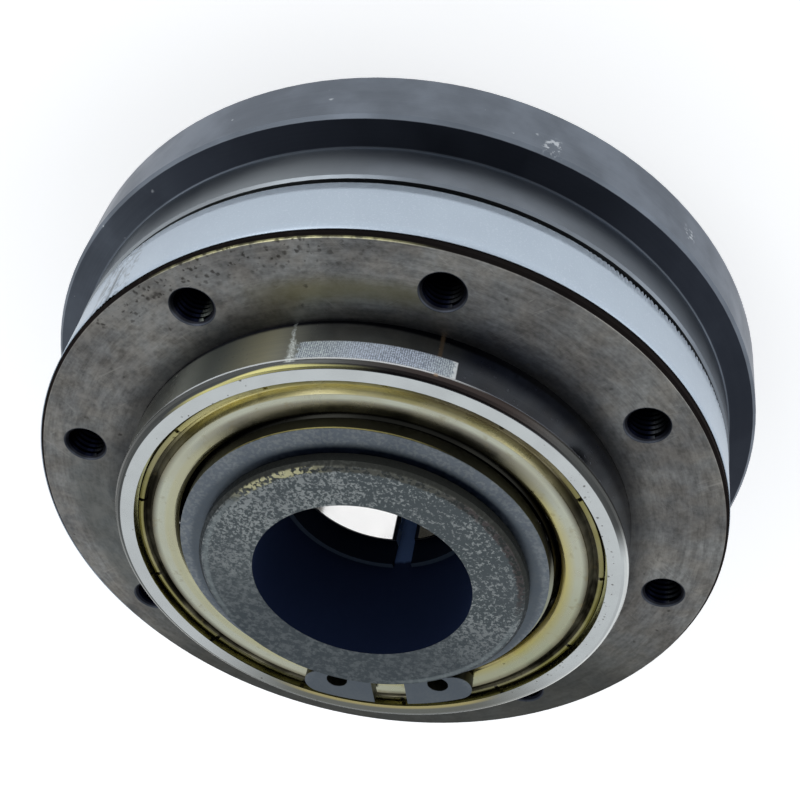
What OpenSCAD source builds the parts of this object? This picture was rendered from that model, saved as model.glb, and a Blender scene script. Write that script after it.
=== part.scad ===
// Ball-detent safety clutch for a shaft end.
// The hub is clamped on the shaft with a slotted cone bushing. Balls held in the hub's flange
// are pressed into pockets of the output flange, which turns on a shielded ball bearing.
// At overload the balls push the switching ring back against two disc springs. The clutch is drawn
// tripped: the balls stand just out of their pockets, and the ring goes forward to engage them.
// Units are millimetres. The axis is Z and the bushing's rear face lies at Z = 0.

/* [Shaft, bushing and hub] */
// Shaft diameter that the cone bushing clamps
shaft_d = 24; // [16:0.5:40]
// Wall of the bushing at its thin front end
bushing_wall = 1.15; // [0.8:0.05:2]
// Thickness of the bushing's flange
bushing_flange_t = 6; // [5.8:0.1:10]
// Width of the bushing's slit
bushing_slit_w = 2.5; // [1:0.1:4]
// Number of clamping screws in the bushing
bushing_screw_count = 6; // [4:2:8]
// Wall of the hub between its front bore and its thread
hub_wall = 9.35; // [9:0.05:14]
// Height of the hub's nose in front of the bearing
hub_nose_h = 3.5; // [3.2:0.1:8]
// Chamfer of the hub's front edge
hub_chamfer = 0.5; // [0.4:0.1:1.2]

/* [Bearing] */
// Height of the hub's shoulder under the bearing
hub_shoulder = 2.5; // [1.5:0.1:3]
// Radial width of the bearing, from its bore to its outside
bearing_section = 11; // [10.5:0.25:16]
// Width of the bearing along the axis
bearing_w = 12; // [11:0.25:18]
// Diameter of one bearing ball
bearing_ball_d = 6.5; // [5.5:0.1:7]
// Number of bearing balls
bearing_ball_count = 15; // [9:1:15]
// Thickness of the shields' sheet
shield_t = 0.35; // [0.25:0.05:0.45]
// Number of crimping notches round each shield
shield_notch_count = 13; // [6:1:24]
// Thickness of the retaining ring
retaining_ring_t = 1.75; // [1.5:0.05:2]

/* [Output flange] */
// Width of the output flange round the bearing
flange_rim_w = 11.35; // [9.5:0.05:20]
// Thickness of the flange's web behind the bearing
flange_web_t = 4.7; // [4:0.1:10]
// Height by which the bearing stands out of the flange as a centring spigot
spigot_h = 7; // [3:0.25:8]
// Distance from the bearing's outside to the centres of the output holes
hole_inset = 5.75; // [4:0.05:6.5]
// Number of tapped output holes
output_hole_count = 8; // [3:1:16]
// Diameter of the tapped output holes, between the thread's core and its full diameter
output_hole_d = 4.5; // [3.3:0.1:5.5]
// Thickness of the foil label round the flange
label_t = 0.12; // [0.1:0.01:0.2]

/* [Detents and switching ring] */
// Diameter of one detent ball
detent_ball_d = 8; // [7:0.1:10]
// Number of detents, which sets the angle from one snap to the next
detent_count = 12; // [4:1:14]
// Way of the switching ring, by which a ball goes into its pocket
detent_depth = 0.9; // [0.6:0.05:1.2]
// Thickness of the switching ring's web
web_t = 3.65; // [3:0.05:8]
// Width of the switching ring's rim along the axis
rim_w = 8.9; // [7:0.1:9.4]
// Height by which the rim stands out of the collar
rim_proud = 3.4; // [1:0.1:12]
// Height that the rim's front face drops from the collar to the edge
rim_slope_h = 1.28; // [0.4:0.02:2]

/* [Springs and adjusting nut] */
// Thickness of one disc spring
spring_t = 1.9; // [1.5:0.05:3]
// Cone height of one disc spring at the set load
spring_cone_h = 1; // [0.9:0.05:1.5]
// Radial width of the disc springs
spring_section = 9; // [7:0.25:10]
// Thickness of the adjusting nut
nut_t = 10; // [8.5:0.5:16]
// Radial width of the adjusting nut
nut_section = 10.5; // [9:0.25:10.5]
// Number of spanner slots in the adjusting nut
nut_slot_count = 6; // [4:2:8]

/* [Hidden] */
$fn = 96;
cut = 0.5;              // how far a cutting solid runs past the face it opens

// Clearances
slide_gap = 0.08;       // radial gap of the ring and the nut on the hub body
seat_gap = 0.02;        // radial gap of a fitted seat
track_gap = 0.08;       // gap between a bearing ball and its track
ball_gap = 0.02;        // gap between a detent ball and the ring's web
trip_gap = 0.05;        // gap between a tripped ball and the output flange, and round an engaged one
draw_gap = 0.8;         // way that is left to draw the bushing into the hub
nut_end_gap = 0.48;     // from the hub's rear end to the nut
ring_gap = 0.3;         // between the engaged ring's web and the hub's flange
flange_gap = 0.6;       // between the hub's flange and the output flange
collar_gap = 0.1;       // between the engaged ring's collar and the output flange
collar_side_gap = 0.7;  // between the hub's flange and the ring's collar
recess_gap = 0.6;       // between the nut or the springs and the ring's recess

// Heights along the axis, from the rear face up
hub_z0 = bushing_flange_t + draw_gap;
nut_z0 = hub_z0 + nut_end_gap;
nut_z1 = nut_z0 + nut_t;
spring_stack_h = 2 * (spring_t + spring_cone_h);
web_z0 = nut_z1 + spring_stack_h;
web_z1 = web_z0 + web_t;
collar_root_z = web_z1 + 1.35;
rim_z1 = collar_root_z - rim_slope_h;
rim_z0 = rim_z1 - rim_w;
detent_z = web_z1 + ball_gap + detent_ball_d / 2;
flange_z0 = detent_z + detent_ball_d / 2 + trip_gap;
flange_t = flange_web_t + bearing_w - spigot_h;
flange_z1 = flange_z0 + flange_t;
hub_flange_z0 = web_z1 + detent_depth + ring_gap;
hub_flange_z1 = flange_z0 - flange_gap;
collar_z1 = flange_z0 - detent_depth - collar_gap;
bearing_z0 = flange_z0 + flange_web_t;
bearing_z1 = bearing_z0 + bearing_w;
bearing_mid_z = (bearing_z0 + bearing_z1) / 2;
overall_h = bearing_z1 + hub_nose_h;
bushing_z1 = bearing_z0 + 1.3;

// Radii, from the shaft outwards
shaft_r = shaft_d / 2;
hub_bore_r = shaft_r + bushing_wall;
hub_body_r = hub_bore_r + hub_wall;
bearing_bore_r = hub_body_r - hub_shoulder;
bearing_r = bearing_bore_r + bearing_section;
flange_r = bearing_r + flange_rim_w;
output_hole_circle_r = bearing_r + hole_inset;
collar_r = flange_r + 0.25;
rim_r = collar_r + rim_proud;
detent_circle_r = hub_body_r + 2 + detent_ball_d / 2;
hub_flange_r = detent_circle_r + detent_ball_d / 2 + 3;
flange_bore_r = hub_body_r + 1.5;
collar_bore_r = hub_flange_r + collar_side_gap;
spring_r0 = hub_body_r + 0.5;
spring_r1 = spring_r0 + spring_section;
nut_r = hub_body_r + nut_section;
recess_r = max(spring_r1, nut_r) + recess_gap;
edge = 0.4;             // small edge break

// Hub, bushing and retaining ring
hub_seat_r = bearing_bore_r - seat_gap;
cone_rise = 0.08;       // radius gained per unit of length towards the rear
nose_r = hub_seat_r - 0.3;  // the bearing slips over the nose
groove_r = bearing_bore_r - 1.25;
groove_w = retaining_ring_t + 0.1;
clamp_screw_d = 4;
clamp_screw_r = hub_body_r - 3.9;
clamp_seat_z = bushing_flange_t - 1.7;

// Places round the axis, in degrees
slit_angle = -66;       // the bushing's slit
ring_gap_angle = -71;   // the retaining ring's gap
notch_angle = 180;      // the first crimping notch
label_gap_angle = -88;  // middle of the stretch that the label leaves free

// Bearing section
pitch_r = (bearing_bore_r + bearing_r) / 2;
ball_r = bearing_ball_d / 2;
race_r = ball_r + 0.15;
outer_land_r = pitch_r + ball_r - 1.15;
inner_land_r = pitch_r - ball_r + 0.55;
shield_seat_r = bearing_r - 2.5;
shield_depth = 1.62;

function arc(cx, cy, r, a0, a1, n = 4) =
    [for (i = [0 : n]) [cx + r * cos(a0 + (a1 - a0) * i / n), cy + r * sin(a0 + (a1 - a0) * i / n)]];

// Section of a ring with its four edges broken by the same chamfer
module ring_section(r0, r1, z0, z1, c = edge) {
    polygon([
        [r0 + c, z0], [r1 - c, z0], [r1, z0 + c], [r1, z1 - c],
        [r1 - c, z1], [r0 + c, z1], [r0, z1 - c], [r0, z0 + c]
    ]);
}

module around(count, start = 0) {
    for (i = [0 : count - 1]) rotate(start + i * 360 / count) children();
}

// Hex socket cap screw, head down, with its bearing face at Z = 0 and its shank upwards
module cap_screw(d, length) {
    head_r = 0.875 * d;
    difference() {
        union() {
            translate([0, 0, -d]) cylinder(r1 = head_r - 0.3, r2 = head_r, h = 0.3);
            translate([0, 0, -d + 0.3]) cylinder(r = head_r, h = d - 0.3);
            cylinder(d = d, h = length - 0.5);
            translate([0, 0, length - 0.5]) cylinder(r1 = d / 2, r2 = d / 2 - 0.5, h = 0.5);
        }
        translate([0, 0, -d - cut]) cylinder(d = 0.866 * d, h = 0.5 * d + cut, $fn = 6);
    }
}

module hub() {
    thread_hole_h = 10;
    color("slategray")
    difference() {
        rotate_extrude() polygon([
            [hub_bore_r - cut, hub_z0], [hub_body_r - edge, hub_z0], [hub_body_r, hub_z0 + edge],
            [hub_body_r, hub_flange_z0], [hub_flange_r - edge, hub_flange_z0],
            [hub_flange_r, hub_flange_z0 + edge], [hub_flange_r, hub_flange_z1 - edge],
            [hub_flange_r - edge, hub_flange_z1], [hub_body_r, hub_flange_z1],
            [hub_body_r, bearing_z0], [hub_seat_r, bearing_z0], [hub_seat_r, bearing_z1],
            [groove_r, bearing_z1], [groove_r, bearing_z1 + groove_w],
            [nose_r, bearing_z1 + groove_w], [nose_r, overall_h - hub_chamfer],
            [nose_r - hub_chamfer, overall_h], [hub_bore_r - cut, overall_h]
        ]);
        // Front bore, and the cone that the bushing is drawn into
        translate([0, 0, bushing_z1]) cylinder(r = hub_bore_r, h = overall_h);
        rotate_extrude() polygon([
            [0, hub_z0 - cut], [hub_bore_r + cone_rise * (bushing_z1 - hub_z0 + cut), hub_z0 - cut],
            [hub_bore_r, bushing_z1], [hub_bore_r, bushing_z1 + cut], [0, bushing_z1 + cut]
        ]);
        // Holes that guide the detent balls
        around(detent_count)
            translate([detent_circle_r, 0, hub_flange_z0 - cut])
            cylinder(d = detent_ball_d + 2 * slide_gap, h = hub_flange_z1 - hub_flange_z0 + 2 * cut);
        // Tapped holes for the clamping screws
        around(bushing_screw_count, slit_angle + 180 / bushing_screw_count)
            translate([clamp_screw_r, 0, hub_z0 - cut])
            cylinder(d = clamp_screw_d + 2 * seat_gap, h = thread_hole_h + cut);
    }
}

module cone_bushing() {
    front_r = hub_bore_r - 0.03;
    flange_r1 = hub_body_r + 1.5;
    relief_r = shaft_r + 0.5;
    relief_z0 = bushing_z1 - 4;
    color("lightsteelblue")
    difference() {
        rotate_extrude() polygon([
            [shaft_r + edge, 0], [flange_r1 - edge, 0], [flange_r1, edge],
            [flange_r1, bushing_flange_t - edge], [flange_r1 - edge, bushing_flange_t],
            [front_r + cone_rise * (bushing_z1 - bushing_flange_t), bushing_flange_t],
            [front_r, bushing_z1], [relief_r, bushing_z1], [relief_r, relief_z0],
            [shaft_r, relief_z0], [shaft_r, edge]
        ]);
        // Slit along the whole bushing
        rotate(slit_angle) translate([0, -bushing_slit_w / 2, -cut])
            cube([2 * flange_r1, bushing_slit_w, bushing_z1 + 2 * cut]);
        around(bushing_screw_count, slit_angle + 180 / bushing_screw_count)
            translate([clamp_screw_r, 0, -cut]) {
                cylinder(d = clamp_screw_d + 0.5, h = bushing_flange_t + 2 * cut);
                cylinder(d = 1.75 * clamp_screw_d + 0.5, h = clamp_seat_z + cut);
            }
        // Tapped holes for jacking the bushing off, one between every second pair of screws
        around(bushing_screw_count / 2, slit_angle + 360 / bushing_screw_count)
            translate([clamp_screw_r, 0, -cut]) cylinder(d = 3.3, h = bushing_flange_t + 2 * cut);
    }
}

module bushing_screws() {
    color("dimgray")
    around(bushing_screw_count, slit_angle + 180 / bushing_screw_count)
        translate([clamp_screw_r, 0, clamp_seat_z]) cap_screw(clamp_screw_d, 11);
}

module output_flange() {
    shield_relief = 0.8;
    pocket_half_angle = 55;
    pocket_apex_z = detent_z + detent_depth + (detent_ball_d / 2 + trip_gap) / sin(pocket_half_angle);
    pocket_r = (pocket_apex_z - flange_z0 + cut) * tan(pocket_half_angle);
    pocket_tip_r = 1;
    countersink = 0.4;
    color("darkkhaki")
    difference() {
        rotate_extrude() polygon([
            [flange_bore_r, flange_z0], [flange_r - edge, flange_z0], [flange_r, flange_z0 + edge],
            [flange_r, flange_z1 - edge], [flange_r - edge, flange_z1],
            [bearing_r + seat_gap, flange_z1], [bearing_r + seat_gap, bearing_z0],
            [outer_land_r, bearing_z0], [outer_land_r, bearing_z0 - shield_relief],
            [flange_bore_r, bearing_z0 - shield_relief]
        ]);
        // Conical pockets for the detent balls
        around(detent_count)
            translate([detent_circle_r, 0, flange_z0 - cut])
            cylinder(r1 = pocket_r, r2 = pocket_tip_r,
                h = (pocket_r - pocket_tip_r) / tan(pocket_half_angle));
        // Tapped output holes with a small countersink
        around(output_hole_count)
            translate([output_hole_circle_r, 0, flange_z0 - cut]) {
                cylinder(d = output_hole_d, h = flange_t + 2 * cut);
                translate([0, 0, flange_t + cut - countersink])
                    cylinder(d1 = output_hole_d, d2 = output_hole_d + 4 * countersink,
                        h = 2 * countersink);
            }
    }
}

module label_band() {
    free_angle = 30;
    color("aliceblue")
    difference() {
        translate([0, 0, flange_z0 + 0.1]) cylinder(r = flange_r + label_t, h = flange_t - 0.9);
        translate([0, 0, flange_z0]) cylinder(r = flange_r + 0.01, h = flange_t + cut);
        rotate(label_gap_angle) translate([0, 0, flange_z0]) linear_extrude(flange_t)
            polygon([
                [0, 0], rim_r * [cos(free_angle / 2), -sin(free_angle / 2)],
                rim_r * [cos(free_angle / 2), sin(free_angle / 2)]
            ]);
    }
}

module bearing_outer_ring() {
    race_centre_r = pitch_r + ball_r + track_gap - race_r;
    corner = 0.9;
    color("silver")
    rotate_extrude() difference() {
        polygon(concat(
            arc(bearing_r - corner, bearing_z0 + corner, corner, -90, 0),
            arc(bearing_r - corner, bearing_z1 - corner, corner, 0, 90),
            [
                [shield_seat_r, bearing_z1], [shield_seat_r, bearing_z1 - shield_depth],
                [outer_land_r, bearing_z1 - shield_depth],
                [outer_land_r, bearing_z0 + shield_depth],
                [shield_seat_r, bearing_z0 + shield_depth], [shield_seat_r, bearing_z0]
            ]
        ));
        translate([race_centre_r, bearing_mid_z]) circle(r = race_r);
    }
}

module bearing_inner_ring() {
    race_centre_r = pitch_r - ball_r - track_gap + race_r;
    lip = 0.5;
    lip_h = 1;
    bore_edge = 0.6;
    color("gainsboro")
    rotate_extrude() difference() {
        polygon([
            [bearing_bore_r + bore_edge, bearing_z0], [inner_land_r - lip, bearing_z0],
            [inner_land_r - lip, bearing_z0 + lip_h], [inner_land_r, bearing_z0 + lip_h + lip],
            [inner_land_r, bearing_z1 - lip_h - lip], [inner_land_r - lip, bearing_z1 - lip_h],
            [inner_land_r - lip, bearing_z1], [bearing_bore_r + bore_edge, bearing_z1],
            [bearing_bore_r, bearing_z1 - bore_edge], [bearing_bore_r, bearing_z0 + bore_edge]
        ]);
        translate([race_centre_r, bearing_mid_z]) circle(r = race_r);
    }
}

module bearing_balls() {
    color("silver")
    around(bearing_ball_count) translate([pitch_r, 0, bearing_mid_z]) sphere(r = ball_r);
}

cage_t = 0.6;
cage_gap = 0.1;
cage_half_w = 1.15;
rivet_r = 0.55;

// One half of the riveted ribbon cage, with its flat side on the bearing's middle plane
module cage_half() {
    shell_r = ball_r + cage_gap + cage_t;
    difference() {
        intersection() {
            union() {
                cylinder(r = pitch_r + cage_half_w, h = cage_t);
                around(bearing_ball_count) translate([pitch_r, 0, 0]) sphere(r = shell_r);
            }
            rotate_extrude() translate([pitch_r - cage_half_w, 0])
                square([2 * cage_half_w, shell_r + cut]);
        }
        around(bearing_ball_count) translate([pitch_r, 0, 0]) sphere(r = ball_r + cage_gap);
        around(bearing_ball_count, 180 / bearing_ball_count)
            translate([pitch_r, 0, -cut]) cylinder(r = rivet_r + 0.01, h = cage_t + 2 * cut);
    }
}

module cage_front_half() {
    color("goldenrod") translate([0, 0, bearing_mid_z]) cage_half();
}

module cage_rear_half() {
    color("darkgoldenrod") translate([0, 0, bearing_mid_z]) mirror([0, 0, 1]) cage_half();
}

module cage_rivets() {
    head_h = 0.35;
    color("tan")
    around(bearing_ball_count, 180 / bearing_ball_count)
        translate([pitch_r, 0, bearing_mid_z]) {
            translate([0, 0, -cage_t]) cylinder(r = rivet_r, h = 2 * cage_t);
            for (side = [-1, 1])
                translate([0, 0, side * (cage_t + head_h / 2)])
                    cylinder(r = rivet_r + 0.4, h = head_h, center = true);
        }
}

// Pressed shield, drawn for the bearing's front face at Z = 0 and facing +Z
module shield() {
    bead_r = 0.5;
    bead_c = shield_seat_r - 0.75;
    bead_start = 180 + asin((bead_r - shield_t) / bead_r);
    foot_z = seat_gap - shield_depth;
    valley_z = foot_z + shield_t;
    flat_z = -0.35;
    flat_r1 = shield_seat_r - 2.2;
    slope_w = 0.6;
    roll_r = 0.7;
    flat_r0 = inner_land_r + 0.35 + roll_r;
    notch_w = 0.55;
    color("khaki")
    difference() {
        rotate_extrude() polygon(concat(
            arc(flat_r0, flat_z - roll_r, roll_r, 180, 90, 6),
            [[flat_r1, flat_z], [flat_r1 + slope_w, valley_z]],
            arc(bead_c, foot_z + bead_r, bead_r, bead_start, -90, 8),
            [[flat_r1 + slope_w - 0.1, foot_z], [flat_r1 - 0.1, flat_z - shield_t]],
            arc(flat_r0, flat_z - roll_r, roll_r - shield_t, 90, 180, 6)
        ));
        around(shield_notch_count, notch_angle)
            translate([bead_c - 0.1, -notch_w / 2, foot_z + bead_r])
            cube([1, notch_w, shield_depth]);
    }
}

module front_shield() {
    translate([0, 0, bearing_z1]) shield();
}

module rear_shield() {
    translate([0, 0, bearing_z0]) mirror([0, 0, 1]) shield();
}

module retaining_ring() {
    ring_outer_r = bearing_bore_r + 2;
    ring_shift = 1.2;
    lug_r = bearing_bore_r + 5.6;
    lug_round = 2.2;
    lug_angle = 22;
    lug_hole_d = 2.7;
    lug_hole_r = bearing_bore_r + 2.1;
    lug_hole_angle = 17.4;
    ring_gap_w = 4.4;
    color("cadetblue")
    translate([0, 0, bearing_z1]) rotate(ring_gap_angle) linear_extrude(retaining_ring_t)
        difference() {
            union() {
                translate([-ring_shift, 0]) circle(r = ring_outer_r);
                intersection() {
                    circle(r = lug_r);
                    polygon([
                        [0, 0], 2 * lug_r * [cos(lug_angle), -sin(lug_angle)],
                        2 * lug_r * [cos(lug_angle), sin(lug_angle)]
                    ]);
                }
                for (side = [-1, 1]) rotate(side * lug_angle)
                    translate([lug_r - lug_round - 0.02, 0]) circle(r = lug_round, $fn = 48);
            }
            circle(r = groove_r + seat_gap);
            translate([0, -ring_gap_w / 2]) square([2 * lug_r, ring_gap_w]);
            for (side = [-1, 1]) rotate(side * lug_hole_angle)
                translate([lug_hole_r, 0]) circle(d = lug_hole_d, $fn = 32);
        }
}

module switching_ring() {
    collar_edge = 0.3;
    color("steelblue")
    rotate_extrude() polygon([
        [hub_body_r + slide_gap, web_z0 + edge], [hub_body_r + slide_gap + edge, web_z0],
        [recess_r, web_z0], [recess_r, rim_z0 + edge],
        [recess_r + edge, rim_z0], [rim_r - edge, rim_z0], [rim_r, rim_z0 + edge],
        [rim_r, rim_z1 - edge], [rim_r - edge, rim_z1 + 0.1],
        [collar_r, collar_root_z], [collar_r, collar_z1 - collar_edge],
        [collar_r - collar_edge, collar_z1], [collar_bore_r + collar_edge, collar_z1],
        [collar_bore_r, collar_z1 - collar_edge], [collar_bore_r, web_z1],
        [hub_body_r + slide_gap + edge, web_z1], [hub_body_r + slide_gap, web_z1 - edge]
    ]);
}

module detent_balls() {
    color("silver")
    around(detent_count) translate([detent_circle_r, 0, detent_z]) sphere(d = detent_ball_d);
}

// Disc spring drawn with its inner rim raised, standing on Z = 0
module disc_spring() {
    rotate_extrude() polygon([
        [spring_r1, 0.03], [spring_r1, spring_t], [spring_r0, spring_t + spring_cone_h - 0.03],
        [spring_r0, spring_cone_h]
    ]);
}

module disc_spring_front() {
    color("lightslategray") translate([0, 0, web_z0 - spring_t - spring_cone_h]) disc_spring();
}

module disc_spring_rear() {
    color("gray") translate([0, 0, nut_z1 + spring_t + spring_cone_h]) mirror([0, 0, 1])
        disc_spring();
}

lock_screw_d = 5;
lock_screw_count = 2;
pad_t = 1.5;
pad_r1 = hub_body_r + slide_gap + pad_t;

// Places its children on the radial axis of each locking screw, with Z pointing outwards
module at_lock_screws() {
    around(lock_screw_count, 180 / nut_slot_count)
        translate([0, 0, (nut_z0 + nut_z1) / 2]) rotate([0, 90, 0]) children();
}

module adjusting_nut() {
    slot_w = 6;
    slot_h = 3;
    color("darkslategray")
    difference() {
        rotate_extrude() ring_section(hub_body_r + slide_gap, nut_r, nut_z0, nut_z1, 0.5);
        around(nut_slot_count) translate([nut_r - slot_h, -slot_w / 2, nut_z0 - cut])
            cube([slot_h + cut, slot_w, nut_t + 2 * cut]);
        at_lock_screws() cylinder(d = lock_screw_d + 2 * seat_gap, h = 2 * nut_r);
    }
}

module nut_locking_screws() {
    recess = 0.6;
    socket_h = 2.4;
    screw_r1 = nut_r - recess;
    color("black")
    at_lock_screws() difference() {
        union() {
            translate([0, 0, pad_r1 + seat_gap]) cylinder(d = lock_screw_d, h = screw_r1 - pad_r1 - 0.4);
            translate([0, 0, screw_r1 - 0.4 + seat_gap])
                cylinder(d1 = lock_screw_d, d2 = lock_screw_d - 0.8, h = 0.4 - seat_gap);
        }
        translate([0, 0, screw_r1 - socket_h]) cylinder(d = 2.9, h = socket_h + cut, $fn = 6);
    }
}

module nut_pressure_pads() {
    color("gold")
    intersection() {
        at_lock_screws() cylinder(d = 4.6, h = pad_r1);
        difference() {
            translate([0, 0, nut_z0]) cylinder(r = nut_r, h = nut_t);
            translate([0, 0, nut_z0 - cut]) cylinder(r = hub_body_r + seat_gap, h = nut_t + 2 * cut);
        }
    }
}

hub();
cone_bushing();
bushing_screws();
output_flange();
label_band();
bearing_outer_ring();
bearing_inner_ring();
bearing_balls();
cage_front_half();
cage_rear_half();
cage_rivets();
front_shield();
rear_shield();
retaining_ring();
switching_ring();
detent_balls();
disc_spring_front();
disc_spring_rear();
adjusting_nut();
nut_locking_screws();
nut_pressure_pads();
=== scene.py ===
"""Looks of the ball-detent safety clutch: finishes, foil label, tapped threads, stage and camera.

Lengths are metres in the meshes and millimetres inside the materials. Angles are degrees round
the clutch's axis, which is Z. The clutch stands on the rear face of its clamping bushing.
"""
import math

import bpy
from bpy.props import FloatProperty, FloatVectorProperty, IntProperty, PointerProperty
from mathutils import Matrix, Quaternion, Vector, noise


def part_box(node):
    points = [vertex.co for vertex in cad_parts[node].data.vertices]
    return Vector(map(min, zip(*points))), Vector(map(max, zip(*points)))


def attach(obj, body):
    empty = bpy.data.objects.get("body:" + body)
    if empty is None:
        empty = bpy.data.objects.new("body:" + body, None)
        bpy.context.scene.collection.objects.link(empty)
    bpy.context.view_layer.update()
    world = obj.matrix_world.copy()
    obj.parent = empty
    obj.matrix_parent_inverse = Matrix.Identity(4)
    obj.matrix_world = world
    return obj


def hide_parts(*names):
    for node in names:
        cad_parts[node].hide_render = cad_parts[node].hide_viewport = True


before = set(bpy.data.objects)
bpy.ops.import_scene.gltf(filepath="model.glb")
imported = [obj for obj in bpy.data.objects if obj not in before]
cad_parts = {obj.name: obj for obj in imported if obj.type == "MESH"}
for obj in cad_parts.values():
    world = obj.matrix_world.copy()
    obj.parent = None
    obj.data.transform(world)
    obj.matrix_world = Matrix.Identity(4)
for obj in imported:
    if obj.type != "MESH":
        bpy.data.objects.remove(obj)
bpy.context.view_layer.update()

bl_info = {
    "name": "Safety Clutch Looks",
    "version": (1, 0, 0),
    "blender": (4, 5, 0),
    "location": "View3D > Sidebar > Clutch",
    "description": "Finishes, foil label, tapped threads and stage of a ball-detent safety clutch",
    "category": "Object",
}

MM = 0.001
WHITE = (1.0, 1.0, 1.0)
# Faces and edges of the CAD pieces that the finishes are placed by, in millimetres
FLANGE_FACE, FLANGE_EDGE = 44.5, 42.35
RING_FACE, RING_EDGE = 51.5, 31.0
HUB_FACE, CLIP_FACE = 55.0, 53.25
BUSHING_END, BORE = 40.8, 12.0
# Tapped output holes: their number, and the radius of their circle in metres
HOLES, HOLE_CIRCLE = 8, 0.03675


def colour(name, description, value):
    """A colour property with its default in linear light."""
    return FloatVectorProperty(
        name=name, description=description, default=value, subtype="COLOR", size=3, min=0.0, max=1.0
    )


def length(name, description, value):
    """A length property in metres."""
    return FloatProperty(name=name, description=description, default=value, unit="LENGTH", precision=5)


def angle(name, description, degrees):
    """An angle property, whose default is given in degrees."""
    return FloatProperty(
        name=name, description=description, default=math.radians(degrees), unit="ROTATION"
    )


class ClutchStageSettings(bpy.types.PropertyGroup):
    """Camera, lamps and backdrop."""

    camera_place: FloatVectorProperty(
        name="Camera", description="Where the camera stands", default=(-0.00544, 0.12597, 0.15864),
        subtype="TRANSLATION", size=3, precision=5,
    )
    camera_aim: FloatVectorProperty(
        name="Aim", description="Point that the camera looks at", default=(-0.00121, 0.02079, 0.045),
        subtype="TRANSLATION", size=3, precision=5,
    )
    camera_roll: angle("Roll", "Turn of the camera about its line of sight", 192.88)
    camera_lens: FloatProperty(
        name="Lens", description="Focal length on a 36 mm sensor", default=61.92, unit="CAMERA"
    )
    lamp_power: FloatProperty(
        name="Lamp power", description="Power of the key lamp", default=1.5, unit="POWER"
    )
    backdrop: colour("Backdrop", "Colour of the floor and the surroundings", (0.93, 0.94, 0.95))


class ClutchFinishSettings(bpy.types.PropertyGroup):
    """Colours of the finishes, in linear light."""

    turned_light: colour("Turned steel", "Bare turned face of the output flange", (0.240, 0.244, 0.238))
    turned_dark: colour("Turned steel, stained", "Stained stretches of that face", (0.188, 0.190, 0.188))
    corrosion: colour("Corrosion", "Dark specks on the flange", (0.034, 0.029, 0.025))
    # Also the colour of the painted glint on the output flange's edge
    brassy: colour("Brassy edge", "Warm edge of turned or ground steel", (0.56, 0.54, 0.33))
    ground: colour("Ground steel", "Faces of the bearing rings", (0.60, 0.63, 0.63))
    # Painted reflection of a bright patch on the bearing's outer ring
    patch_reflection: colour("Reflected patch", "Matt patch on the outer ring", (0.70, 0.78, 0.92))
    zinc_pale: colour("Zinc, pale", "Flat of the shields", (0.53, 0.55, 0.45))
    zinc_gold: colour("Zinc, golden", "Folds of the shields", (0.44, 0.41, 0.18))
    blued: colour("Blued spring steel", "Retaining ring and disc springs", (0.105, 0.125, 0.145))
    oxide: colour("Black oxide", "Switching ring and adjusting nut", (0.165, 0.190, 0.228))
    phosphate_light: colour("Phosphate, light", "Light grains of the hub", (0.312, 0.336, 0.333))
    phosphate_dark: colour("Phosphate, dark", "Dark grains of the hub", (0.102, 0.121, 0.127))
    # The hub's bore is painted near black as shade
    bore_shade: colour("Bore", "Dark wall of the hub's bore", (0.009, 0.017, 0.050))
    bright: colour("Bright steel", "Clamping bushing", (0.99, 0.99, 0.99))
    screw: colour("Blackened screws", "Clamping and locking screws", (0.045, 0.047, 0.052))
    polished: colour("Polished steel", "Balls", (0.72, 0.72, 0.73))
    pressed: colour("Pressed steel", "Bearing cage and rivets", (0.52, 0.51, 0.49))
    brass: colour("Brass", "Pressure pads", (0.72, 0.52, 0.22))
    foil: colour("Foil", "Bare silver foil of the label", (0.46, 0.54, 0.63))


class ClutchLabelSettings(bpy.types.PropertyGroup):
    """Sizes of the foil label round the output flange."""

    skew: length("Skew", "How far the front edge runs out of square", 0.00052)
    tear: length("Tear", "Deepest tooth of the frayed stretch of the rear edge", 0.00080)
    thickness: length("Thickness", "Thickness of the foil", 0.00009)
    crease: length("Crease", "Height of the creases at the seam", 0.00007)
    free_angle: angle("Free stretch", "Angle that the label leaves free", 30.0)
    free_middle: angle("Free stretch's middle", "Direction of that stretch", -88.0)


class ClutchThreadSettings(bpy.types.PropertyGroup):
    """Sizes of the tapped output holes."""

    count: IntProperty(name="Holes", description="Number of tapped holes", default=HOLES, min=1)
    circle: length("Hole circle", "Radius of the circle that the holes lie on", HOLE_CIRCLE)
    wall: length("Wall", "Radius of the hole's wall", 0.00225)
    core: length("Core", "Radius of the thread's crests", 0.00206)
    pitch: length("Pitch", "Pitch of the thread", 0.0008)
    countersink: length("Countersink", "Depth of the countersink", 0.0004)


class Value:
    """A node's output, with arithmetic that adds nodes to the same tree."""

    def __init__(self, graph, socket):
        self.graph, self.socket = graph, socket

    def __add__(self, other):
        return self.graph.math("ADD", self, other)

    def __sub__(self, other):
        return self.graph.math("SUBTRACT", self, other)

    def __rsub__(self, other):
        return self.graph.math("SUBTRACT", other, self)

    def __mul__(self, other):
        return self.graph.math("MULTIPLY", self, other)

    def smooth(self, low, high, to_low=0.0, to_high=1.0):
        """Rises or falls smoothly from one result to another between two values."""
        inputs = {0: self, 1: low, 2: high, 3: to_low, 4: to_high}
        return self.graph.out("ShaderNodeMapRange", inputs, interpolation_type="SMOOTHSTEP")

    def band(self, low, high, softness):
        """A soft-edged mask of the values between two limits."""
        return self.graph.group("Band", Value=self, From=low, To=high, Softness=softness)["Mask"]

    def coat(self, colour, mask, share=1.0, blend="MIX"):
        """This tone under a colour, which a mask lays on at a share of its full strength."""
        return self.graph.mix(mask if share == 1.0 else mask * share, self, colour, blend)


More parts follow.
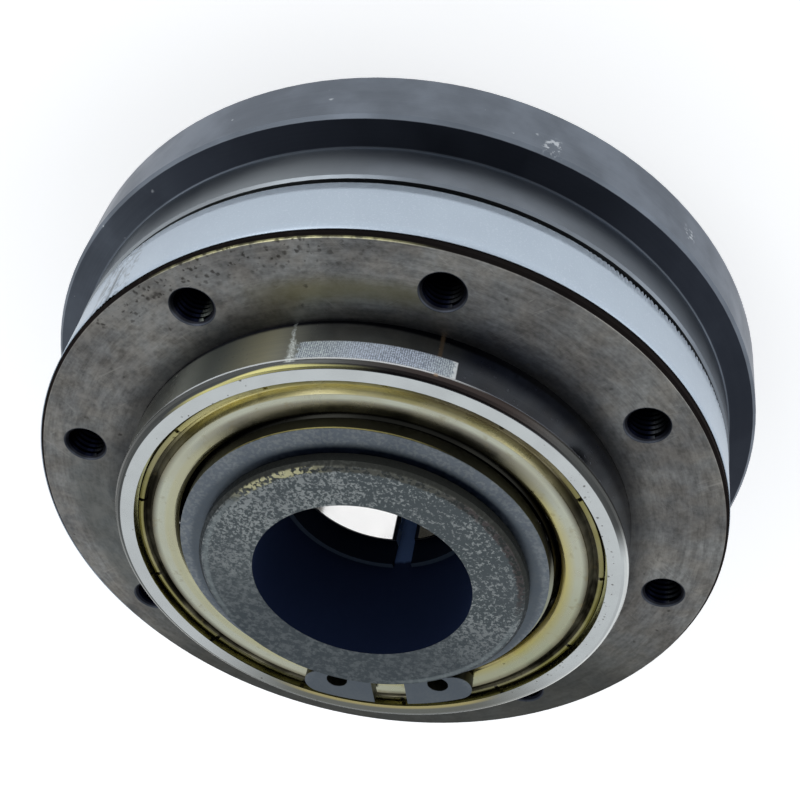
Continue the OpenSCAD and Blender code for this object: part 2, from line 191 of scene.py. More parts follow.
class Graph:
    """Adds nodes to a node tree. An input takes a plain value or another node's output."""

    def __init__(self, tree):
        self.tree = tree
        self.places = None

    def feed(self, value, socket):
        if isinstance(value, Value):
            self.tree.links.new(value.socket, socket)
        elif socket.type == "RGBA" and len(value) == 3:
            socket.default_value = (*value, 1.0)
        else:
            socket.default_value = value

    def node(self, kind, inputs=(), **settings):
        made = self.tree.nodes.new(kind)
        for key, value in settings.items():
            setattr(made, key, value)
        for socket, value in dict(inputs).items():
            self.feed(value, made.inputs[socket])
        return made

    def outs(self, node):
        """A node's outputs by name."""
        return {socket.name: Value(self, socket) for socket in node.outputs}

    def out(self, kind, inputs=(), key=0, **settings):
        """One output of a new node."""
        return Value(self, self.node(kind, inputs, **settings).outputs[key])

    def math(self, operation, a, b=0.5):
        return self.out("ShaderNodeMath", {0: a, 1: b}, operation=operation)

    def most(self, a, b):
        return self.math("MAXIMUM", a, b)

    def vector(self, operation, a, b=(0.0, 0.0, 0.0), key=0):
        return self.out("ShaderNodeVectorMath", {0: a, 1: b}, key, operation=operation)

    def scaled(self, vector, factor):
        return self.out("ShaderNodeVectorMath", {0: vector, "Scale": factor}, operation="SCALE")

    def combine(self, x=0.0, y=0.0, z=0.0):
        return self.out("ShaderNodeCombineXYZ", {0: x, 1: y, 2: z})

    def split(self, vector):
        return self.outs(self.node("ShaderNodeSeparateXYZ", {0: vector})).values()

    def mix(self, factor, a, b, blend="MIX"):
        return self.out("ShaderNodeMix", {0: factor, 6: a, 7: b}, 2, data_type="RGBA", blend_type=blend)

    def noise(self, vector, scale, detail=2.0, roughness=0.5, distortion=0.0, key=0):
        inputs = {
            "Vector": vector, "Scale": scale, "Detail": detail,
            "Roughness": roughness, "Distortion": distortion,
        }
        return self.out("ShaderNodeTexNoise", inputs, key)

    def ramp(self, value, stops):
        made = self.node("ShaderNodeValToRGB", {0: value})
        elements = made.color_ramp.elements
        while len(elements) < len(stops):
            elements.new(0.5)
        for element, (place, shade) in zip(elements, stops):
            element.position = place
            element.color = (*shade, 1.0)
        return Value(self, made.outputs[0])

    def group(self, name, **inputs):
        """The outputs of a shared node group."""
        made = self.tree.nodes.new("ShaderNodeGroup")
        made.node_tree = bpy.data.node_groups[name]
        for key, value in inputs.items():
            self.feed(value, made.inputs[key])
        return self.outs(made)

    def grain(self, size, detail, low=0.4, high=0.6, shift=0.0):
        return self.group("Grain", Size=size, Detail=detail, Low=low, High=high, Shift=shift)

    def turned(self, marks, arc, low, high):
        return self.group("Turned Marks", Marks=marks, Arc=arc, Low=low, High=high)

    def specks(self, spacing, size, crowding, shift=0.0):
        return self.group("Specks", Spacing=spacing, Size=size, Crowding=crowding, Shift=shift)["Mask"]

    def scratches(self, length, spacing, width, shift=0.0):
        return self.group("Scratches", Length=length, Spacing=spacing, Width=width, Shift=shift)["Mask"]

    def place(self, name):
        """A coordinate on the clutch, from the Place group, which is added once."""
        if self.places is None:
            self.places = self.group("Place")
        return self.places[name]

    def sector(self, start, end, softness):
        """A soft-edged mask of the stretch between two angles, in degrees from -180 or beyond."""
        middle = math.radians((start + end) / 2)
        toward = self.combine(math.cos(middle), math.sin(middle))
        along = self.vector("DOT_PRODUCT", self.place("Around"), toward, "Value")
        off = self.math("DEGREES", self.math("ARCCOSINE", self.math("MINIMUM", along, 1.0)))
        half = (end - start) / 2
        return off.smooth(half - softness / 2, half + softness / 2, 1.0, 0.0)


def new_group(name, inputs, numbers, vectors=()):
    """A new shader node group. Returns its graph, its inputs by name and its output node's sockets."""
    tree = bpy.data.node_groups.new(name, "ShaderNodeTree")
    for label, value in inputs.items():
        tree.interface.new_socket(label, in_out="INPUT", socket_type="NodeSocketFloat").default_value = value
    for kind, labels in (("NodeSocketVector", vectors), ("NodeSocketFloat", numbers)):
        for label in labels:
            tree.interface.new_socket(label, in_out="OUTPUT", socket_type=kind)
    graph = Graph(tree)
    return graph, graph.outs(graph.node("NodeGroupInput")), graph.node("NodeGroupOutput").inputs


def build_place_group():
    """Where a point lies on the clutch: position, radius and height in millimetres, angle in degrees."""
    graph, _, out = new_group("Place", {}, ("Radius", "Angle", "Height"), ("Position", "Around"))
    position = graph.scaled(graph.out("ShaderNodeTexCoord", key="Object"), 1.0 / MM)
    x, y, z = graph.split(position)
    flat = graph.combine(x, y)
    graph.feed(position, out["Position"])
    graph.feed(graph.vector("NORMALIZE", flat), out["Around"])
    graph.feed(graph.vector("LENGTH", flat, key="Value"), out["Radius"])
    graph.feed(graph.math("DEGREES", graph.math("ARCTAN2", y, x)), out["Angle"])
    graph.feed(z, out["Height"])


def build_band_group():
    """A soft-edged mask of the values between two limits."""
    graph, given, out = new_group("Band", {"Value": 0.0, "From": 0.0, "To": 1.0, "Softness": 0.1}, ("Mask",))
    value, low, high, half = given["Value"], given["From"], given["To"], given["Softness"] * 0.5
    mask = value.smooth(low - half, low + half) * value.smooth(high - half, high + half, 1.0, 0.0)
    graph.feed(mask, out["Mask"])


def build_turned_group():
    """Fine marks of a lathe tool, which run round the axis on faces and on cylinders alike."""
    graph, given, out = new_group(
        "Turned Marks", {"Marks": 5.0, "Arc": 1.5, "Low": 0.35, "High": 0.65}, ("Tone", "Height")
    )
    along = (graph.place("Radius") + graph.place("Height")) * given["Marks"]
    around = graph.scaled(graph.place("Around"), given["Arc"])
    fine = graph.noise(graph.vector("ADD", around, graph.combine(z=along)), 1.0, 3.0, 0.65)
    graph.feed(fine.smooth(given["Low"], given["High"]), out["Tone"])
    graph.feed(fine, out["Height"])


def build_grain_group():
    """Cloudy or grainy variation of a given size in millimetres."""
    graph, given, out = new_group(
        "Grain", {"Size": 1.0, "Detail": 2.0, "Low": 0.4, "High": 0.6, "Shift": 0.0}, ("Mask", "Height")
    )
    where = graph.vector("ADD", graph.place("Position"), graph.combine(given["Shift"], given["Shift"]))
    fine = graph.noise(where, graph.math("DIVIDE", 1.0, given["Size"]), given["Detail"], 0.55)
    graph.feed(fine.smooth(given["Low"], given["High"]), out["Mask"])
    graph.feed(fine, out["Height"])


def build_specks_group():
    """Scattered irregular specks of uneven size, in millimetres, that crowd in places."""
    graph, given, out = new_group(
        "Specks", {"Spacing": 2.0, "Size": 0.4, "Crowding": 0.5, "Shift": 0.0}, ("Mask",)
    )
    size, crowding = given["Size"], given["Crowding"]
    shift = graph.combine(x=given["Shift"], z=given["Shift"])
    where = graph.vector("ADD", graph.place("Position"), shift)
    ragged = graph.scaled(graph.noise(where, 2.2, key=1), size * 1.1)
    scale = graph.math("DIVIDE", 1.0, given["Spacing"])
    inputs = {"Vector": graph.vector("ADD", where, ragged), "Scale": scale}
    cells = graph.outs(graph.node("ShaderNodeTexVoronoi", inputs))
    pick = graph.out("ShaderNodeSeparateColor", {0: cells["Color"]})
    reach = pick * pick * (size * scale)
    inside = cells["Distance"].smooth(reach * 0.3, reach, 1.0, 0.0)
    crowd = graph.noise(graph.place("Position"), 0.09)
    graph.feed(inside * crowd.smooth(crowding, crowding + 0.08), out["Mask"])


def build_scratches_group():
    """Thin straight scratches in two directions, which come and go."""
    graph, given, out = new_group(
        "Scratches", {"Length": 6.0, "Spacing": 1.2, "Width": 0.03, "Shift": 0.0}, ("Mask",)
    )
    lines = []
    for turn, cloud_scale in ((0.6, 0.16), (2.3, 0.24)):
        inputs = {"Vector": graph.place("Position"), "Angle": turn}
        x, y, _ = graph.split(graph.out("ShaderNodeVectorRotate", inputs, rotation_type="Z_AXIS"))
        along = graph.math("DIVIDE", x, given["Length"])
        across = graph.math("DIVIDE", y, given["Spacing"])
        ridges = graph.noise(graph.combine(along, across, given["Shift"]), 1.0, 0.0)
        line = graph.math("ABSOLUTE", ridges - 0.5).smooth(0.0, given["Width"], 1.0, 0.0)
        clouds = graph.noise(graph.place("Position"), cloud_scale, 1.0)
        lines.append(line * clouds.smooth(0.55, 0.62))
    graph.feed(graph.most(*lines), out["Mask"])


GROUP_BUILDERS = (
    build_place_group, build_band_group, build_turned_group,
    build_grain_group, build_specks_group, build_scratches_group,
)


def empty_material(name):
    """A material without nodes, and its graph."""
    material = bpy.data.materials.new(name)
    material.use_nodes = True
    material.node_tree.nodes.clear()
    return material, Graph(material.node_tree)


def new_material(name, **values):
    """A material with one Principled BSDF. Returns the material, its graph and the shader's inputs."""
    material, graph = empty_material(name)
    shader = graph.node("ShaderNodeBsdfPrincipled")
    graph.node("ShaderNodeOutputMaterial", {"Surface": Value(graph, shader.outputs[0])})
    for key, value in values.items():
        graph.feed(value, shader.inputs[key.replace("_", " ")])
    return material, graph, shader.inputs


def connect(graph, shader, tone, rough, height, depth_mm, strength=0.5):
    """Feeds the shader its base colour, its roughness and a relief of that depth from a height of 0 to 1."""
    inputs = {"Strength": strength, "Distance": depth_mm * MM, "Height": height}
    graph.feed(tone, shader["Base Color"])
    graph.feed(rough, shader["Roughness"])
    graph.feed(graph.out("ShaderNodeBump", inputs), shader["Normal"])


def hole_offset(graph):
    """Distance in millimetres from the axis of the nearest tapped hole, and its part towards +X."""
    step = 360.0 / HOLES
    nearest = graph.math("SNAP", graph.place("Angle") + step / 2, step)
    turn = graph.math("RADIANS", nearest)
    axis = graph.combine(graph.math("COSINE", turn), graph.math("SINE", turn))
    flat = graph.vector("MULTIPLY", graph.place("Position"), (1.0, 1.0, 0.0))
    off = graph.vector("SUBTRACT", flat, graph.scaled(axis, HOLE_CIRCLE / MM))
    return graph.vector("LENGTH", off, key="Value"), graph.out("ShaderNodeSeparateXYZ", {0: off})


def turned_steel(finish):
    """Bare turned steel of the output flange, stained and specked with corrosion."""
    material, graph, shader = new_material(
        "turned_steel", Metallic=1.0, Anisotropic=0.35, Specular_Tint=(0.66, 0.64, 0.63)
    )
    radius, height = graph.place("Radius"), graph.place("Height")
    marks = graph.turned(4.5, 2.2, 0.36, 0.64)
    clouds = graph.grain(9.0, 4.0, 0.38, 0.62)
    tone = graph.mix(clouds["Mask"], finish.turned_dark, finish.turned_light)
    # Grit, with fine marks and long strokes of the lathe tool
    grit = graph.grain(0.55, 4.0, 0.30, 0.70, 61.0)["Mask"]
    strokes = graph.turned(1.3, 14.0, 0.30, 0.70)["Tone"]
    fine = marks["Height"].smooth(0.3, 0.7, 0.80, 0.94) + grit * 0.26
    fine = fine + (strokes - 0.5) * 0.42
    tone = graph.mix(1.0, tone, graph.combine(fine, fine, fine), "MULTIPLY")
    browner = graph.grain(3.4, 4.0, 0.36, 0.66, 77.0)["Mask"]
    tone = tone.coat((1.02, 0.93, 0.83), browner, 0.6, "MULTIPLY")
    smudges = graph.grain(1.9, 5.0, 0.48, 0.70, 40.0)["Mask"]
    more_on_left = graph.sector(118, 215, 40) * 0.55 + 0.1
    tone = tone.coat((0.33, 0.32, 0.30), smudges, more_on_left)
    scratches = graph.scratches(26.0, 0.8, 0.012)
    tone = tone.coat((0.42, 0.41, 0.38), scratches, 0.36)
    greener = graph.sector(182, 238, 34) * radius.smooth(40.5, 37.5)
    tone = tone.coat((0.112, 0.126, 0.124), greener, 0.62)
    # Painted shade: the face is darker on the far side
    tone = tone.coat((0.046, 0.050, 0.046), graph.sector(232, 342, 34), 0.82)
    # Painted golden sheen next to the bearing, on one side
    golden_sheen = radius.band(33.8, 36.6, 2.6) * graph.sector(90, 122, 14)
    tone = tone.coat((0.205, 0.190, 0.110), golden_sheen, 0.75)
    # Painted shade: the face darkens towards the bearing, in the corner between them
    tone = tone.coat((0.030, 0.032, 0.036), radius.smooth(34.8, 31.4), 0.68)
    # Painted brassy glint along the edge on one side, broken in patches, and a dark edge next to the label all
    # round
    rim = FLANGE_EDGE - 0.35
    edge_glint = radius.band(rim - 0.08, rim + 0.12, 0.10) * height.smooth(FLANGE_FACE - 0.4, FLANGE_FACE - 0.3)
    patchy = graph.grain(2.2, 4.0, 0.42, 0.58, 7.0)["Mask"]
    edge_glint = edge_glint * (patchy * 0.65 + 0.3) * graph.sector(97, 134, 12)
    edge = radius.smooth(rim - 0.04, rim + 0.04) * height.smooth(FLANGE_FACE - 2.3, FLANGE_FACE - 1.9)
    tone = tone.coat((0.013, 0.010, 0.010), edge, 0.97)
    tone = tone.coat(finish.brassy, edge_glint)
    # Corrosion: crowded near the edge on one side, sparse elsewhere
    crowded = graph.sector(104, 160, 26) * radius.smooth(36.5, 40.5)
    specks = graph.specks(1.1, 0.62, 0.30, 12.0)
    fine_specks = graph.specks(0.6, 0.42, 0.32, 30.0)
    sparse = graph.specks(2.3, 0.50, 0.42, 55.0)
    spotted = graph.most(graph.most(specks, fine_specks) * crowded, sparse * 0.7)
    tone = tone.coat(finish.corrosion, spotted, 0.62)
    # Painted shade makes the walls of the tapped holes near black, with a bluish countersink
    off_axis, _ = hole_offset(graph)
    bluish = graph.mix(off_axis.smooth(2.44, 2.58), (0.006, 0.007, 0.013), (0.050, 0.058, 0.076))
    tone = tone.coat(bluish, off_axis.smooth(2.75, 2.65), 0.95)
    below_face = height.smooth(FLANGE_FACE - 0.25, FLANGE_FACE - 0.4)
    tone = tone.coat((0.012, 0.014, 0.022), off_axis.smooth(2.36, 2.30) * below_face)
    rough = clouds["Height"].smooth(0.3, 0.7, 0.50, 0.38) + spotted * 0.3
    rough = graph.most(rough, edge * 0.9)
    graph.feed(graph.out("ShaderNodeTangent", direction_type="RADIAL", axis="Z"), shader["Tangent"])
    relief = marks["Height"] - spotted * 0.8
    connect(graph, shader, tone, rough, relief, 0.015, 0.6)
    return material


def ground_steel(finish):
    """Ground steel of the bearing rings, with a painted reflection of a bright patch on the outer ring, made matt.
    """
    material, graph, shader = new_material("ground_steel", Metallic=1.0)
    radius, height, turn = graph.place("Radius"), graph.place("Height"), graph.place("Angle")
    marks = graph.turned(7.0, 1.2, 0.3, 0.7)
    clouds = graph.grain(5.0, 3.0, 0.35, 0.7)
    tone = graph.mix(clouds["Mask"] * 0.35, finish.ground, (0.52, 0.54, 0.54))
    specks = graph.specks(0.8, 0.26, 0.46)
    pits = graph.specks(0.45, 0.26, 0.20, 3.0)
    pits = pits * radius.band(28.5, 29.25, 0.4) * graph.sector(-35, 45, 20)
    specks = graph.most(specks, pits)
    tone = tone.coat((0.12, 0.11, 0.10), specks, 0.8)
    # Painted shade: the face is duller and browner on the far side, where the retaining ring has its gap
    tone = tone.coat((0.112, 0.114, 0.092), graph.sector(248, 326, 36), 0.9)
    golden = radius.smooth(29.3, 28.8) * graph.sector(260, 314, 14)
    tone = tone.coat((0.50, 0.42, 0.17), golden, 0.8)
    # The wall that holds the shield is dark olive
    under_face = height.smooth(RING_FACE - 0.02, RING_FACE - 0.08)
    tone = tone.coat((0.42, 0.41, 0.22), radius.smooth(28.9, 28.8) * under_face, 0.95)
    # The inner ring is dark olive: nearly black on one side, paler on the other
    olive = graph.mix(graph.sector(22, 150, 16), (0.11, 0.108, 0.085), (0.014, 0.014, 0.012))
    olive = olive.coat((0.30, 0.31, 0.24), graph.sector(-62, 16, 20))
    tone = tone.coat(olive, radius.smooth(24.4, 24.2))
    # The outside is polished, with painted light and shade: darker low down, browner and lighter on one side, and
    # a painted shadow that makes it black at its root
    outside = radius.smooth(RING_EDGE - 0.15, RING_EDGE - 0.02)
    low = graph.mix(graph.sector(84, 122, 10), (0.024, 0.030, 0.052), (0.145, 0.150, 0.145))
    stained = graph.mix(height.smooth(46.4, 49.2), low, (0.185, 0.200, 0.235))
    # Painted light high up on one side
    lit = graph.sector(8, 46, 16) * height.smooth(46.8, 48.8)
    stained = stained.coat((0.30, 0.33, 0.38), lit, 0.7)
    olive_side = graph.sector(117, 144, 16)
    lighter = graph.mix(turn.smooth(119.0, 136.0), (0.285, 0.270, 0.175), (0.080, 0.088, 0.074))
    lighter = graph.mix(olive_side, (0.46, 0.48, 0.42), lighter)
    stained = stained.coat(lighter, graph.sector(116, 178, 14))
    stained = stained.coat((0.070, 0.085, 0.130), marks["Tone"], 0.15)
    root_shadow = height - graph.sector(5, 95, 30) * 0.5
    root_shadow = root_shadow.smooth(FLANGE_FACE + 0.75, FLANGE_FACE + 0.25)
    stained = stained.coat((0.004, 0.005, 0.010), root_shadow)
    tone = tone.coat(stained, outside)
    # The rounding is painted dull, with shade that changes round it, between a painted bright highlight line and a
    # painted gilt highlight
    rounding = radius.smooth(RING_EDGE - 0.88, RING_EDGE - 0.8) * height.smooth(RING_FACE - 0.88, RING_FACE - 0.78)
    rounding = rounding * graph.sector(27, 312, 12)
    dull = graph.mix(graph.sector(62, 100, 24), (0.078, 0.082, 0.080), (0.050, 0.040, 0.037))
    dull = dull.coat((0.115, 0.126, 0.122), graph.sector(192, 318, 20))
    tone = tone.coat(dull, rounding)
    line = height.band(RING_FACE - 0.9, RING_FACE - 0.7, 0.12) * outside * graph.sector(82, 178, 16)
    tone = tone.coat((0.80, 0.84, 0.86), line, 0.85)
    reach = turn.smooth(108.0, 118.0, RING_EDGE - 0.4, RING_EDGE - 0.28) - turn.smooth(120.0, 136.0, 0.0, 0.30)
    gilt_highlight = radius.band(RING_EDGE - 0.85, reach, 0.16) * graph.sector(106, 142, 18)
    tone = tone.coat((0.84, 0.78, 0.33), gilt_highlight)
    # The patch is a painted reflection: a bright fine mesh of lines with ragged ends
    ragged = graph.grain(0.45, 3.0, 0.3, 0.7, 19.0)["Mask"]
    dots = graph.grain(0.16, 1.0, 0.40, 0.60, 43.0)["Mask"]
    faded = (turn + ragged * 1.2).smooth(117.0, 115.6)
    patch = graph.sector(83.4, 116.6, 0.3) * faded * height.band(47.9, 50.6, 0.22) * outside
    mesh = graph.math("SINE", turn * 14.0) * 0.9 + dots * 1.9
    patch_reflection = graph.mix(graph.sector(88, 106, 10), (0.72, 0.80, 0.80), finish.patch_reflection)
    patch_reflection = graph.mix(mesh.smooth(-0.4, 2.6), (0.22, 0.26, 0.34), patch_reflection)
    patch_reflection = patch_reflection.coat((0.56, 0.62, 0.70), clouds["Mask"], 0.3)
    ends = (turn + ragged * 0.8).smooth(84.3, 84.9)
    tone = tone.coat(graph.mix(ends, (0.84, 0.88, 0.90), patch_reflection), patch)
    # Painted highlight: a bright streak beside the patch; and a rusty run below it
    broken = graph.grain(0.5, 2.0, 0.35, 0.65, 31.0)["Mask"]
    middle = height.smooth(45.0, 50.6, 117.5, 116.6) + (broken - 0.5) * 0.5
    off_streak = graph.math("ABSOLUTE", turn - middle)
    highlight_streak = off_streak.smooth(height.smooth(45.6, 50.2, 0.55, 1.35), 0.05)
    highlight_streak = highlight_streak * outside * height.smooth(44.9, 46.2, 0.35, 0.95)
    highlight_streak = highlight_streak * dots.smooth(0.0, 0.6, 0.5, 1.0)
    tone = tone.coat((0.80, 0.86, 0.84), highlight_streak)
    rusty = graph.sector(86.9, 87.7, 0.5) * outside * 0.6
    tone = tone.coat((0.40, 0.27, 0.16), rusty, 1 - patch)
    matt = graph.most(graph.most(patch, highlight_streak), outside * olive_side)
    graph.feed(1 - matt * 0.55, shader["Metallic"])
    rough = clouds["Height"] * 0.16 + 0.14 + specks * 0.3 + matt * 0.32
    connect(graph, shader, tone, rough, marks["Height"], 0.006)
    return material


def zinc_plate(finish):
    """Yellowish zinc plate of the pressed shields, golden in the folds, with painted highlights and shade across
    them.
    """
    material, graph, shader = new_material("zinc_plate", Metallic=1.0, Specular_Tint=(0.55, 0.52, 0.42))
    radius, turn = graph.place("Radius"), graph.place("Angle")
    inner, outer = 23.0, 28.6
    share = graph.math("DIVIDE", radius - inner, outer - inner)
    pale, gold = finish.zinc_pale, finish.zinc_gold
    stain, groove_shade, hollow_shade = (0.56, 0.50, 0.20), (0.028, 0.025, 0.016), (0.028, 0.026, 0.018)
    dull, bright, bead = (0.34, 0.31, 0.15), (0.86, 0.78, 0.34), (0.27, 0.25, 0.10)
    # Across the shield from its inner to its outer edge. On the open side the fold carries a painted bright
    # highlight; on the shaded side the hollow and the groove are painted dark as shade
    open_side = graph.ramp(share, (
        (0.14, (0.06, 0.058, 0.045)), (0.28, (0.09, 0.085, 0.065)), (0.40, (0.24, 0.23, 0.19)),
        (0.48, pale), (0.56, pale), (0.60, dull), (0.64, dull), (0.69, bright), (0.80, bright),
        (0.88, gold), (0.96, (0.20, 0.16, 0.05)),
    ))
    reddish = graph.sector(20, 92, 20) * share.smooth(0.62, 0.70)
    open_side = open_side.coat((0.125, 0.092, 0.055), reddish, 0.85)
    shaded_side = graph.ramp(share, (
        (0.03, (0.46, 0.34, 0.12)), (0.14, stain), (0.34, pale), (0.46, pale), (0.58, (0.13, 0.12, 0.09)),
        (0.66, hollow_shade), (0.79, hollow_shade), (0.815, bead), (0.89, bead), (0.91, groove_shade), (0.94, groove_shade),
    ))
    open_part = graph.sector(50, 150, 32)
    shaded_part = 1 - open_part
    tone = graph.mix(open_part, shaded_side, open_side)
    # Painted shade: darker on one side, from 288 to 366 degrees
    tone = tone.coat((0.70, 0.72, 0.58), graph.sector(288, 366, 34), 0.8, "MULTIPLY")
    # Painted light: the inner part is lighter on one side
    lighter_inner = graph.sector(152, 248, 30) * share.smooth(0.34, 0.20)
    tone = tone.coat((0.50, 0.51, 0.38), lighter_inner, 0.8)
    # The crimping notches are painted black as shade in their dents
    notches, first = 13, 180.0
    step = 360.0 / notches
    nearest = graph.math("SNAP", turn + (first + step / 2), step)
    off = graph.math("ABSOLUTE", turn + first - nearest)
    notch = off.smooth(0.55, 0.40) * radius.smooth(27.1, 27.2) * shaded_part
    tone = tone.coat((0.006, 0.005, 0.004), notch)
    clouds = graph.grain(6.0, 3.0, 0.4, 0.65, 15.0)
    tone = tone.coat((0.50, 0.47, 0.33), clouds["Mask"], 0.3)
    blotches = graph.grain(1.4, 4.0, 0.58, 0.72, 3.0)["Mask"]
    tone = tone.coat((0.25, 0.20, 0.09), blotches, 0.3)
    specks = graph.specks(1.3, 0.35, 0.5, 9.0)
    tone = tone.coat((0.07, 0.06, 0.03), specks, 0.7)
    hollow = share.band(0.60, 0.79, 0.04) * shaded_part
    rough = clouds["Height"] * 0.18 + 0.17
    rough = graph.most(rough, hollow * 0.75)
    gilded = open_part * share.smooth(0.62, 0.70)
    graph.feed(1 - gilded * 0.35, shader["Metallic"])
    connect(graph, shader, tone, rough, graph.grain(0.35, 2.0)["Height"], 0.012)
    return material


def phosphated_steel(finish):
    """Mottled phosphate on the hub's face, smooth on its chamfer, with painted shade that makes it nearly black in
    its bore.
    """
    material, graph, shader = new_material(
        "phosphated_steel", Metallic=0.85, Specular_Tint=(0.60, 0.64, 0.72)
    )
    radius, height, position = graph.place("Radius"), graph.place("Height"), graph.place("Position")
    # The grain is crisp on one side of the face and fades towards the other
    crisp = graph.sector(-35, 190, 70)
    maze = graph.noise(position, 2.7, 3.0, 0.62, 0.4) + graph.noise(position, 0.28) * 0.16
    thinner = graph.sector(0, 100, 30) * 0.066
    sharp = (maze - thinner).smooth(0.545, 0.635)
    soft = graph.noise(position, 1.5, 4.0, 0.62).smooth(0.40, 0.62, -0.08, 0.60)
    grain = graph.out("ShaderNodeMix", {0: crisp, 2: soft, 3: sharp})
    tone = graph.mix(grain, finish.phosphate_dark, finish.phosphate_light)
    clouds = graph.grain(6.0, 3.0, 0.35, 0.65, 21.0)["Mask"]
    tone = tone.coat((0.125, 0.14, 0.15), clouds, 0.25)
    # Painted shade: the face is darker on the far side
    tone = tone.coat((0.058, 0.070, 0.080), graph.sector(205, 345, 50), 0.55)
    # Smooth dark chamfer, with rubbed spots along its edge that are brassy on one side
    chamfer = height.smooth(HUB_FACE - 0.03, HUB_FACE - 0.1)
    tone = tone.coat((0.030, 0.034, 0.034), chamfer, 0.92)
    lip = radius.smooth(18.25, 18.60) * graph.sector(10, 160, 30)
    tone = tone.coat((0.032, 0.033, 0.028), lip, 0.8)
    rubbed = graph.grain(0.60, 3.0, 0.47, 0.53, 5.0)["Mask"]
    rubbed = rubbed * radius.band(18.30, 19.25, 0.3)
    for start, end, softness, share, colour in (
        (66, 120, 24, 0.8, (0.125, 0.127, 0.108)),
        (8, 66, 20, 0.7, (0.105, 0.088, 0.086)),
        (117, 148, 12, 1.0, finish.brassy),
    ):
        tone = tone.coat(colour, rubbed * graph.sector(start, end, softness), share)
    sides = graph.most(graph.sector(150, 218, 20), graph.sector(-64, 0, 20))
    pale_rim = radius.band(18.45, 19.0, 0.3) * sides
    tone = tone.coat((0.24, 0.275, 0.28), pale_rim, 0.6)
    # Painted shade: the bore is nearly black, bluish behind the slit
    bore = radius.smooth(16.9, 16.8) * height.smooth(HUB_FACE - 0.01, HUB_FACE - 0.05)
    behind_slit = radius.smooth(13.2, 13.25)
    tone = tone.coat(graph.mix(behind_slit, finish.bore_shade, (0.085, 0.145, 0.30)), bore)
    rough = graph.most(grain.smooth(0.0, 1.0, 0.60, 0.42), bore * 0.95)
    connect(graph, shader, tone, rough, grain, 0.01, 0.6)
    return material


def blued_steel(finish):
    """Blued spring steel, with light grains on the outer part of the retaining ring."""
    material, graph, shader = new_material("spring_steel", Metallic=1.0)
    radius, height = graph.place("Radius"), graph.place("Height")
    grains = graph.grain(0.46, 4.0, 0.44, 0.62)
    # Smooth at the lugs, on both sides of the gap
    lugs = graph.sector(-99, -43, 8)
    outer = radius.smooth(20.6, 21.5) * (1 - lugs)
    plain = graph.mix(outer, finish.blued, (0.160, 0.185, 0.212))
    strength = outer * 0.68 + 0.12
    tone = plain.coat((0.28, 0.305, 0.315), grains["Mask"], strength)
    clouds = graph.grain(4.0, 3.0, 0.35, 0.65, 12.0)["Mask"]
    tone = tone.coat((0.075, 0.095, 0.125), clouds, 0.25)
    # Painted shadow of the hub's nose on the inner part, on one side
    shaded = radius.smooth(20.7, 20.2) * graph.sector(44, 136, 40)
    tone = tone.coat((0.007, 0.014, 0.038), shaded, 0.9)
    # Its outer side is dark olive, under a painted gilt highlight along its edge on one side
    below_face = height.smooth(CLIP_FACE - 0.05, CLIP_FACE - 0.13)
    tone = tone.coat((0.040, 0.040, 0.030), below_face * radius.smooth(21.2, 21.3))
    edge = height.band(CLIP_FACE - 0.27, CLIP_FACE - 0.03, 0.05)
    tone = tone.coat((0.62, 0.56, 0.26), edge * below_face * graph.sector(84, 140, 20))
    rough = grains["Height"].smooth(0.3, 0.7, 0.36, 0.52)
    connect(graph, shader, tone, rough, grains["Height"], 0.01)
    return material


def black_oxide(finish):
    """Smooth blue-grey oxide of the switching ring and the adjusting nut, with a few pale nicks."""
    material, graph, shader = new_material("black_oxide", Metallic=1.0, Specular_Tint=(0.74, 0.76, 0.80))
    radius, height, turn = graph.place("Radius"), graph.place("Height"), graph.place("Angle")
    clouds = graph.grain(9.0, 4.0, 0.36, 0.66)
    marks = graph.turned(6.0, 1.0, 0.3, 0.7)
    tone = graph.mix(clouds["Mask"], [0.72 * part for part in finish.oxide], finish.oxide)
    tone = tone.coat((0.22, 0.25, 0.28), marks["Tone"], 0.14)
    # Painted light and shade: the collar is lighter than the rim, most of all on one side, and the cone between
    # them is painted much darker, a little less so on another side
    cone_foot, cone_top, collar_radius = 26.86, 28.02, 42.6
    collar = height.smooth(cone_top + 0.04, cone_top + 0.12)
    share = graph.sector(112, 168, 24) * 0.55 + 0.2
    tone = tone.coat((0.32, 0.35, 0.37), collar, share)
    cone = height.band(cone_foot, cone_top, 0.06)
    cone = cone * radius.smooth(collar_radius + 0.06, collar_radius + 0.12)
    share = 0.86 - graph.sector(146, 200, 24) * 0.36
    tone = tone.coat((0.010, 0.012, 0.020), cone, share)
    nicks = graph.specks(2.6, 0.34, 0.52, 17.0)
    # One rubbed place on the rim, and a smaller one beside it
    for middle, wide, level, tall in ((79.8, 1.3, 24.9, 1.5), (54.3, 1.0, 22.9, 1.2)):
        spot = turn.band(middle - wide, middle + wide, 1.2) * height.band(level - tall, level + tall, 1.2)
        broken = graph.grain(0.7, 3.0, 0.54, 0.62, middle)["Mask"]
        nicks = graph.most(nicks, spot * broken)
    tone = tone.coat((0.62, 0.66, 0.70), nicks, 0.75)
    rough = clouds["Height"].smooth(0.3, 0.7, 0.40, 0.30) + nicks * 0.2
    connect(graph, shader, tone, rough, marks["Height"], 0.008)
    return material


